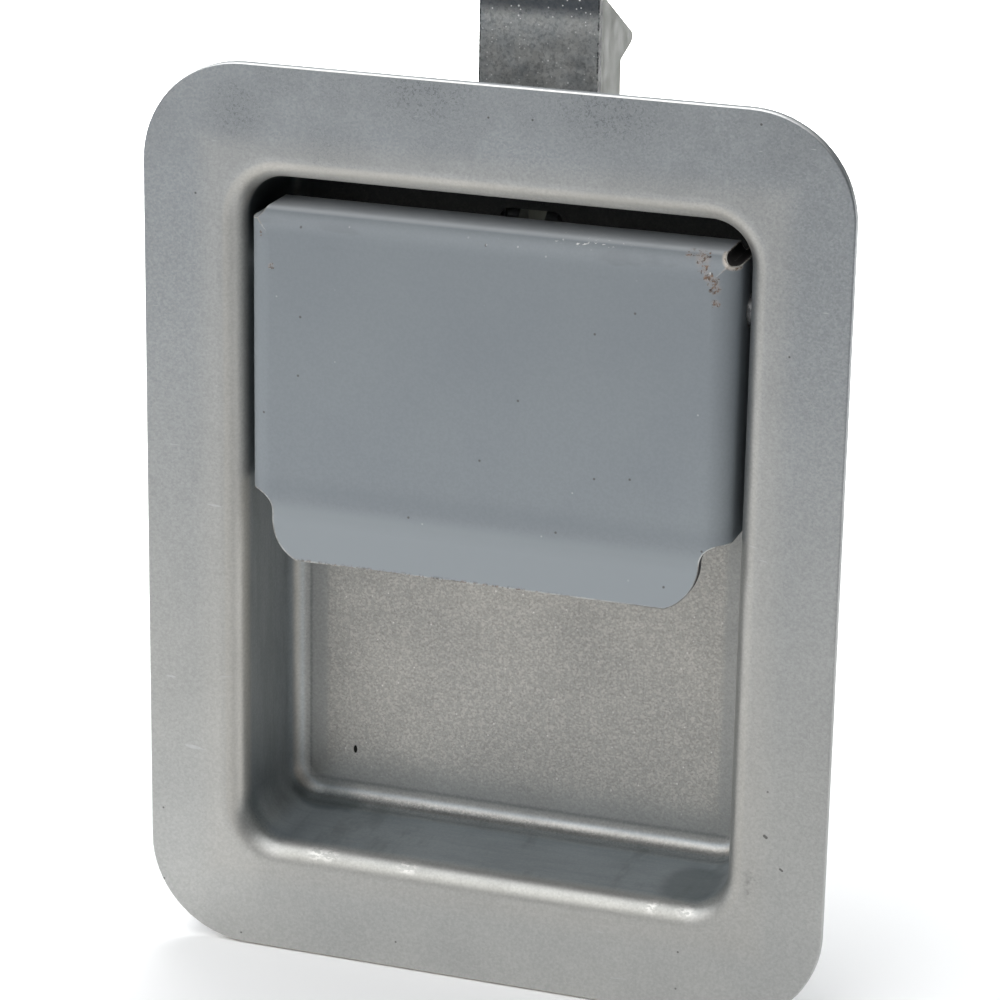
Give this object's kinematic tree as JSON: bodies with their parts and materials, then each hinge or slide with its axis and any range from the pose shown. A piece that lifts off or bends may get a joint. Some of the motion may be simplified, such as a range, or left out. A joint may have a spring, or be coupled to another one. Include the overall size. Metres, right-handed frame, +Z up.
{
  "type": "paddle latch",
  "caption": "Flush paddle latch: drawn tray in a flange, sprung pull paddle on a cross pin, and a wedge-nosed slam bolt behind it that the paddle draws down.",
  "frame": {"origin": "middle of the four mounting studs, on the flange's back face", "axes": "+X across the latch, +Y through the door away from the user, +Z up towards the bolt's nose"},
  "size_m": [0.1112, 0.043, 0.1549],
  "materials": {
    "tray": "dull zinc-coated sheet, speckled and lightly smudged",
    "paddle": "satin blue-grey coat with small chips",
    "trigger": "zinc plated",
    "hinge_pin": "bright drawn steel",
    "pin_push_nut": "spring steel, oiled",
    "spacer_sleeve": "zinc plated tube",
    "paddle_spring": "oiled spring wire",
    "bolt_strip": "dark spangled zinc",
    "bolt_block": "moulded nylon, off-white",
    "bolt_rivets": "flush ground",
    "latch_housing": "zinc plated sheet",
    "housing_rivets": "plain",
    "spring_seat": "zinc plated",
    "spring_guide": "plain",
    "return_spring": "zinc plated spring wire",
    "weld_studs": "zinc plated, rolled thread",
    "flange_gasket": "closed-cell foam rubber"
  },
  "bodies": {
    "tray_assembly": {"tray": "tray", "flange_gasket": "flange_gasket", "weld_studs": "weld_studs", "hinge_pin": "hinge_pin", "pin_push_nut": "pin_push_nut", "spacer_sleeve_left": "spacer_sleeve", "spacer_sleeve_right": "spacer_sleeve", "latch_housing": "latch_housing", "housing_rivets": "housing_rivets", "spring_seat": "spring_seat", "spring_guide_left": "spring_guide", "spring_guide_right": "spring_guide", "return_spring_left": "return_spring", "return_spring_right": "return_spring", "paddle_spring_left": "paddle_spring", "paddle_spring_right": "paddle_spring"},
    "paddle_assembly": {"paddle": "paddle", "trigger": "trigger"},
    "bolt_assembly": {"bolt_strip": "bolt_strip", "bolt_block": "bolt_block", "bolt_rivets": "bolt_rivets"}
  },
  "joints": [
    {"name": "paddle_hinge", "type": "hinge", "parent": "tray_assembly", "child": "paddle_assembly", "pos_m": [0, 0.007, 0.04], "axis": [-1, 0, 0], "range_deg": [0, 44], "stiffness_Nm_per_rad": 0.28, "springref_deg": -32.66, "deforming": ["paddle_spring_left", "paddle_spring_right"]},
    {"name": "bolt_slide", "type": "slide", "parent": "tray_assembly", "child": "bolt_assembly", "axis": [0, 0, -1], "range_m": [0, 0.012], "stiffness_N_per_m": 20, "springref_m": -0.01, "deforming": ["return_spring_left", "return_spring_right"]}
  ],
  "couplings": [
    {"joint": "bolt_slide", "follows": "paddle_hinge", "m_per_rad": 0.015573}
  ]
}
